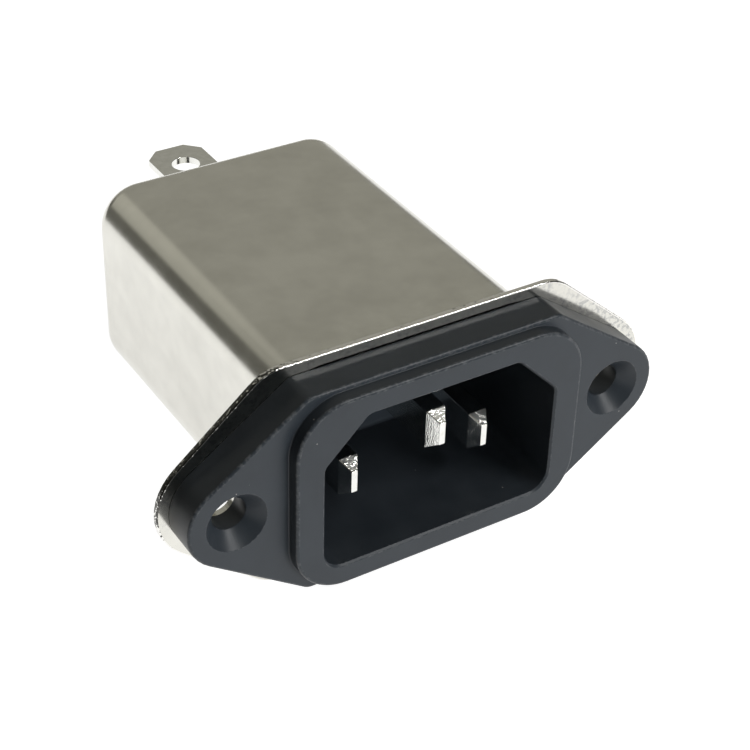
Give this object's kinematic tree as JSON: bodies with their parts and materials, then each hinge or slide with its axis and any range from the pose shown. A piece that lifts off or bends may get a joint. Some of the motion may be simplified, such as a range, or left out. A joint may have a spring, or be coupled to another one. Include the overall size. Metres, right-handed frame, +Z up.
{
  "type": "c14 panel inlet socket",
  "caption": "Panel-mounting appliance inlet with flat pins in a moulded socket, a screw flange and a mains filter in a drawn metal can.",
  "frame": {"origin": "midway between the two screw holes, on the back face of the metal flange, which seats on the panel", "axes": "+X along the flange, to the right seen from the front; +Y from the front to the back, into the equipment; +Z up, with the earth pin above the other two"},
  "size_m": [0.0516, 0.0543, 0.0234],
  "materials": {
    "black_moulding": "fine matt texture, soft sheen",
    "plated_steel": "satin nickel plating with faint blotches",
    "nickel_brass": "bright nickel plating on brass",
    "board_laminate": "glass-epoxy laminate",
    "ferrite": "dark sintered ceramic",
    "enamelled_copper": "lacquered copper wire",
    "capacitor_case": "moulded box, semi-matt",
    "ceramic_coating": "dipped resin coating",
    "resistor_coating": "baked lacquer",
    "tinned_copper": "tinned wire and strip",
    "line_insulation": "brown wire insulation",
    "neutral_insulation": "blue wire insulation",
    "insulating_film": "translucent film"
  },
  "bodies": {
    "root": {"inlet_moulding": "black_moulding", "shield_can": "plated_steel", "line_pin": "nickel_brass", "neutral_pin": "nickel_brass", "earth_pin": "nickel_brass", "insulating_liner": "insulating_film", "circuit_board": "board_laminate", "choke_core": "ferrite", "choke_winding_line": "enamelled_copper", "choke_winding_neutral": "enamelled_copper", "choke_divider": "insulating_film", "x_capacitor": "capacitor_case", "x_capacitor_leads": "tinned_copper", "y_capacitor_line": "ceramic_coating", "y_capacitor_line_leads": "tinned_copper", "y_capacitor_neutral": "ceramic_coating", "y_capacitor_neutral_leads": "tinned_copper", "bleed_resistor": "resistor_coating", "bleed_resistor_leads": "tinned_copper", "line_wire": "line_insulation", "neutral_wire": "neutral_insulation", "line_blade": "nickel_brass", "neutral_blade": "nickel_brass", "terminal_carrier": "black_moulding", "earth_blade": "nickel_brass", "earth_rivet": "nickel_brass", "earth_strap": "tinned_copper"}
  },
  "joints": []
}
